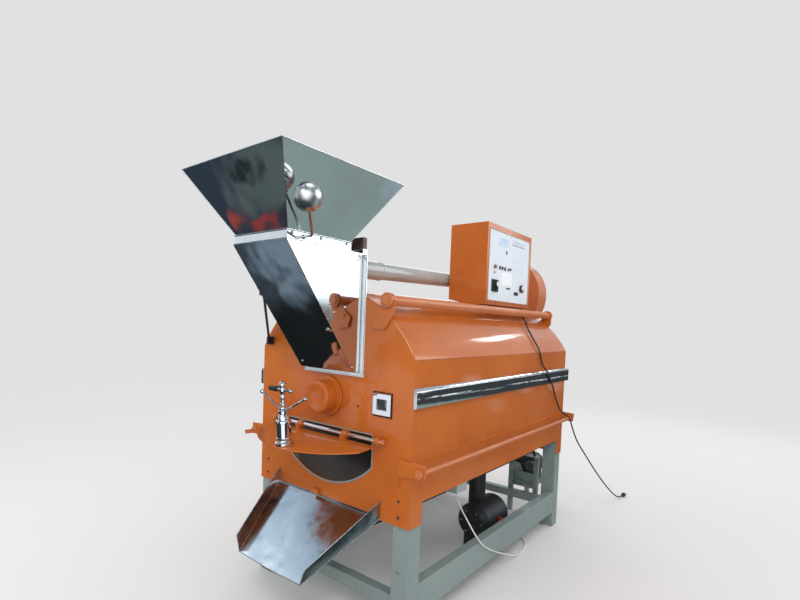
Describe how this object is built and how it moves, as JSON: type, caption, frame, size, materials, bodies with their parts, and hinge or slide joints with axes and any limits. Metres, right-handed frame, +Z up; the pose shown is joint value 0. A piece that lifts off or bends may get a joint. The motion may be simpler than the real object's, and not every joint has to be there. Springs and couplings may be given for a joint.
{
  "type": "drum roaster",
  "caption": "Floor-standing drum roaster for nuts or seeds with feed hopper, discharge door and tray, exhaust fan, chain drive and control box.",
  "frame": {"origin": "on the floor, under the middle of the roaster's box", "axes": "+Z up; -Y towards the discharge end with the hopper; +X towards the side with the control panel"},
  "size_m": [1.3093, 3.2773, 1.9551],
  "materials": {
    "orange_paint": "satin orange paint",
    "grey_green_paint": "worn satin grey-green paint",
    "mirror_steel": "polished stainless steel",
    "chrome": "polished chrome",
    "bare_steel": "bare, dull steel",
    "pale_grey_paint": "pale grey paint",
    "dark_paint": "matte dark paint",
    "black_plastic": "satin black",
    "pale_panel": "satin pale blue-white foil",
    "orange_button": "glossy orange",
    "sight_glass": "clear, slightly smoky",
    "black_cord": "matte black sheath",
    "white_cable": "matte white sheath"
  },
  "bodies": {
    "frame": {"leg_front_right": "grey_green_paint", "leg_front_left": "grey_green_paint", "leg_rear_right": "grey_green_paint", "leg_rear_left": "grey_green_paint", "rail_front": "grey_green_paint", "rail_rear": "grey_green_paint", "rail_right": "grey_green_paint", "rail_left": "grey_green_paint", "motor_stand": "grey_green_paint", "bearing_rear": "grey_green_paint", "front_plate": "orange_paint", "rear_plate": "orange_paint", "casing_right": "orange_paint", "casing_left": "orange_paint", "hood_right": "orange_paint", "hood_left": "orange_paint", "hood_cover": "orange_paint", "tie_rod_upper_right": "orange_paint", "tie_rod_upper_left": "orange_paint", "tie_rod_lower_right": "orange_paint", "tie_rod_lower_left": "orange_paint", "bearing_front": "orange_paint", "fan_housing": "orange_paint", "control_box": "orange_paint", "trim_right": "chrome", "trim_left": "chrome", "hinge_rod": "chrome", "hopper": "mirror_steel", "hopper_collar": "mirror_steel", "feed_chute": "mirror_steel", "discharge_tray": "mirror_steel", "window_frame": "mirror_steel", "riser": "mirror_steel", "drive_chain": "bare_steel", "fire_box": "dark_paint", "gear_motor": "dark_paint", "chute_stay": "dark_paint", "fan_motor": "dark_paint", "burner": "dark_paint", "exhaust_pipe": "pale_grey_paint", "window_glass": "sight_glass", "control_panel": "pale_panel", "mains_gland": "black_plastic", "mains_plug": "black_plastic", "mains_cord": "black_cord", "burner_cable": "white_cable"},
    "drum_body": {"drum": "bare_steel", "drum_shaft": "bare_steel", "drum_sprocket": "bare_steel"},
    "motor_output": {"motor_sprocket": "bare_steel"},
    "flap": {"feed_flap": "mirror_steel", "flap_lever": "chrome"},
    "fan": {"fan_impeller": "bare_steel"},
    "door": {"discharge_door": "orange_paint", "clamp_barrel": "chrome"},
    "wings": {"clamp_wings": "chrome"},
    "spindle": {"clamp_spindle": "chrome"},
    "switch": {"main_switch": "black_plastic"},
    "knob": {"speed_knob": "black_plastic"},
    "button": {"start_button": "orange_button"}
  },
  "joints": [
    {"name": "drum_turn", "type": "hinge", "parent": "frame", "child": "drum_body", "pos_m": [0, -0.754, 1], "axis": [0, 1, 0], "continuous": true},
    {"name": "motor_turn", "type": "hinge", "parent": "frame", "child": "motor_output", "pos_m": [0.265, 1.006, 0.335], "axis": [0, 1, 0], "continuous": true},
    {"name": "flap_swing", "type": "hinge", "parent": "frame", "child": "flap", "pos_m": [0.025, -1.121, 1.668], "axis": [-1, 0, 0], "range_deg": [0, 50]},
    {"name": "fan_turn", "type": "hinge", "parent": "frame", "child": "fan", "pos_m": [0, 1.119, 1.655], "axis": [0, 1, 0], "continuous": true},
    {"name": "door_swing", "type": "hinge", "parent": "frame", "child": "door", "pos_m": [0, -0.814, 0.847], "axis": [1, 0, 0], "range_deg": [-10, 86]},
    {"name": "wings_turn", "type": "hinge", "parent": "door", "child": "wings", "pos_m": [0, -1.03498, 0.8103], "axis": [0, -0.0698, 0.9976], "range_deg": [-180, 180]},
    {"name": "spindle_turn", "type": "hinge", "parent": "door", "child": "spindle", "pos_m": [0, -1.03498, 0.8103], "axis": [0, -0.0698, 0.9976], "range_deg": [-90, 90]},
    {"name": "switch_turn", "type": "hinge", "parent": "frame", "child": "switch", "pos_m": [0.3138, 0.243, 1.596], "axis": [-1, 0, 0], "range_deg": [0, 90]},
    {"name": "knob_turn", "type": "hinge", "parent": "frame", "child": "knob", "pos_m": [0.3038, 0.614, 1.604], "axis": [-1, 0, 0], "range_deg": [0, 300]},
    {"name": "button_press", "type": "slide", "parent": "frame", "child": "button", "axis": [-1, 0, 0], "range_m": [0, 0.003], "stiffness_N_per_m": 800, "springref_m": -0.002}
  ],
  "couplings": [
    {"joint": "motor_turn", "follows": "drum_turn", "ratio": 2.8571}
  ]
}
